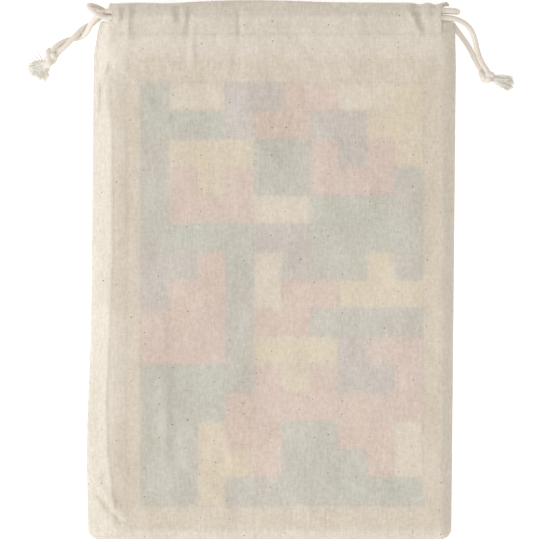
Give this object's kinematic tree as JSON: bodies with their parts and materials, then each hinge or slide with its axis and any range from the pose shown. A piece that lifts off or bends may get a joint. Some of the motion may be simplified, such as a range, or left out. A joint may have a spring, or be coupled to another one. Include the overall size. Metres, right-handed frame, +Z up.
{
  "type": "fabric gift sack",
  "caption": "Flat drawcord gift sack of thin natural cotton with two knotted cords in hem casings, holding a tray of wooden puzzle blocks that slides out of its mouth.",
  "frame": {"origin": "under the middle of the sack, on the surface that it lies on", "axes": "+X to the sack's right, +Y out of its mouth, +Z up from the front panel"},
  "size_m": [0.2769, 0.3047, 0.0245],
  "materials": {
    "cotton_cloth": "natural unbleached plain-weave cotton with seed flecks, thin enough to show what lies under it",
    "sewing_thread": "natural cotton sewing thread",
    "braided_cord": "natural white braided cotton",
    "frayed_cord": "loose cotton fibres",
    "tray_ply": "thin birch plywood",
    "birch_rail": "sanded birch",
    "birch": "bare sanded wood",
    "paint_purple": "satin purple paint on wood",
    "paint_slate": "satin dark blue paint on wood",
    "paint_green": "satin dark green paint on wood",
    "paint_teal": "satin blue-green paint on wood",
    "paint_yellow": "satin yellow paint on wood",
    "paint_orange": "satin orange-red paint on wood",
    "paint_pink": "satin red paint on wood"
  },
  "bodies": {
    "sack": {"front_panel": "cotton_cloth", "back_panel": "cotton_cloth", "hem_stitches_front": "sewing_thread", "hem_stitches_back": "sewing_thread", "side_seam_left": "sewing_thread", "side_seam_right": "sewing_thread", "bottom_seam": "sewing_thread"},
    "puzzle_tray": {"tray_base": "tray_ply", "tray_frame": "birch_rail", "block_domino_1": "birch", "block_domino_2": "birch", "block_domino_3": "birch", "block_domino_4": "birch", "block_domino_5": "birch", "block_corner_1": "paint_purple", "block_corner_2": "paint_purple", "block_corner_3": "paint_purple", "block_corner_4": "paint_purple", "block_corner_5": "paint_purple", "block_bar_1": "paint_slate", "block_bar_2": "paint_slate", "block_bar_3": "paint_slate", "block_bar_4": "paint_slate", "block_bar_5": "paint_slate", "block_square_1": "paint_green", "block_square_2": "paint_green", "block_square_3": "paint_green", "block_square_4": "paint_green", "block_square_5": "paint_green", "block_ell_1": "paint_teal", "block_ell_2": "paint_teal", "block_ell_3": "paint_teal", "block_ell_4": "paint_teal", "block_ell_5": "paint_teal", "block_tee_1": "paint_yellow", "block_tee_2": "paint_yellow", "block_tee_3": "paint_yellow", "block_tee_4": "paint_yellow", "block_tee_5": "paint_yellow", "block_zed_1": "paint_orange", "block_zed_2": "paint_orange", "block_zed_3": "paint_orange", "block_zed_4": "paint_orange", "block_zed_5": "paint_orange", "block_cup_1": "paint_pink", "block_cup_2": "paint_pink", "block_cup_3": "paint_pink", "block_cup_4": "paint_pink", "block_cup_5": "paint_pink"},
    "left_drawcord": {"drawcord_left": "braided_cord", "knot_left": "braided_cord", "tassel_left": "frayed_cord"},
    "right_drawcord": {"drawcord_right": "braided_cord", "knot_right": "braided_cord", "tassel_right": "frayed_cord"}
  },
  "joints": [
    {"name": "tray_slide", "type": "slide", "parent": "sack", "child": "puzzle_tray", "axis": [0, 0.9999, 0.0143], "range_m": [0, 0.31]},
    {"name": "left_drawcord_pull", "type": "slide", "parent": "sack", "child": "left_drawcord", "axis": [-1, 0, 0], "range_m": [0, 0.0035]},
    {"name": "right_drawcord_pull", "type": "slide", "parent": "sack", "child": "right_drawcord", "axis": [1, 0, 0], "range_m": [0, 0.0035]}
  ]
}
